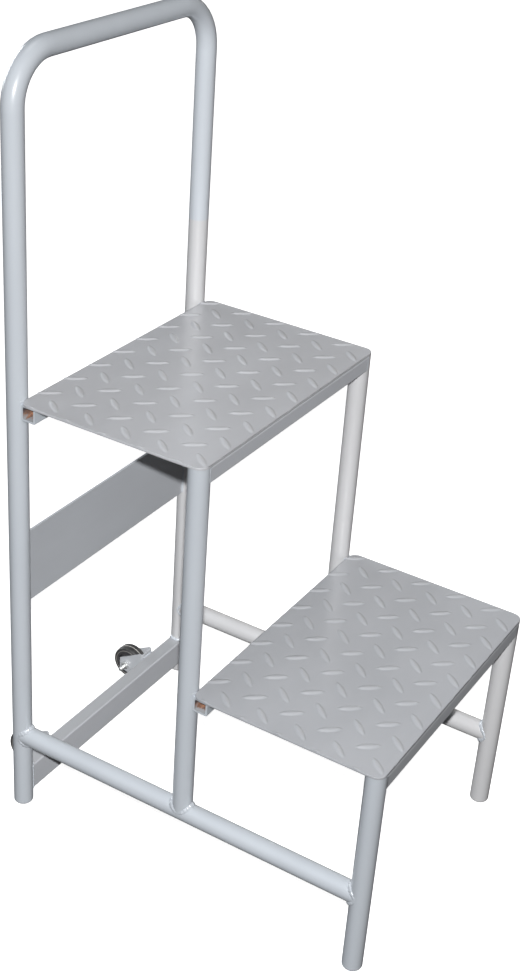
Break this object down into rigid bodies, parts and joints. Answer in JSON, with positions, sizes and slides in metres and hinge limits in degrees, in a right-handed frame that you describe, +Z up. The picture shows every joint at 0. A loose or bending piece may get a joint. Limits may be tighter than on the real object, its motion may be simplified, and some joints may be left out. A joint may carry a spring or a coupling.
{
  "type": "two-step platform stool",
  "caption": "Two-step platform stool in round steel tube with chequer plate treads, a rear hoop handrail and tilt-back castors.",
  "frame": {"origin": "on the floor, in the middle of the footprint box", "axes": "+Z up; +Y is the way the user climbs, with the handrail hoop at the back; +X is the user's right"},
  "size_m": [0.3894, 0.5768, 1],
  "materials": {
    "frame_enamel": "glossy light grey enamel",
    "tread_enamel": "glossy light grey enamel on chequer plate",
    "castor_enamel": "light grey enamel on pressed steel",
    "zinc_steel": "bright zinc plate",
    "wheel_plastic": "moulded black plastic",
    "wheel_rubber": "dark grey rubber"
  },
  "bodies": {
    "frame": {"handrail_hoop": "frame_enamel", "left_mid_post": "frame_enamel", "left_front_leg": "frame_enamel", "left_side_rail": "frame_enamel", "left_rear_foot_plug": "frame_enamel", "left_front_foot_plug": "frame_enamel", "left_castor_fork": "castor_enamel", "left_axle_sleeve": "zinc_steel", "left_axle_washers": "zinc_steel", "left_axle_bolt": "zinc_steel", "left_axle_nut": "zinc_steel", "right_mid_post": "frame_enamel", "right_front_leg": "frame_enamel", "right_side_rail": "frame_enamel", "right_rear_foot_plug": "frame_enamel", "right_front_foot_plug": "frame_enamel", "right_castor_fork": "castor_enamel", "right_axle_sleeve": "zinc_steel", "right_axle_washers": "zinc_steel", "right_axle_bolt": "zinc_steel", "right_axle_nut": "zinc_steel", "upper_tread": "tread_enamel", "lower_tread": "tread_enamel", "upper_front_bar": "frame_enamel", "upper_rear_bar": "frame_enamel", "lower_front_bar": "frame_enamel", "lower_rear_bar": "frame_enamel", "rear_panel": "frame_enamel", "rear_crossbar": "frame_enamel"},
    "left_wheel": {"left_wheel_hub": "wheel_plastic", "left_wheel_tyre": "wheel_rubber"},
    "right_wheel": {"right_wheel_hub": "wheel_plastic", "right_wheel_tyre": "wheel_rubber"}
  },
  "joints": [
    {"name": "left_wheel_spin", "type": "hinge", "parent": "frame", "child": "left_wheel", "pos_m": [-0.1255, 0.26338, 0.035], "axis": [1, 0, 0], "continuous": true},
    {"name": "right_wheel_spin", "type": "hinge", "parent": "frame", "child": "right_wheel", "pos_m": [0.1135, 0.26338, 0.035], "axis": [1, 0, 0], "continuous": true}
  ]
}
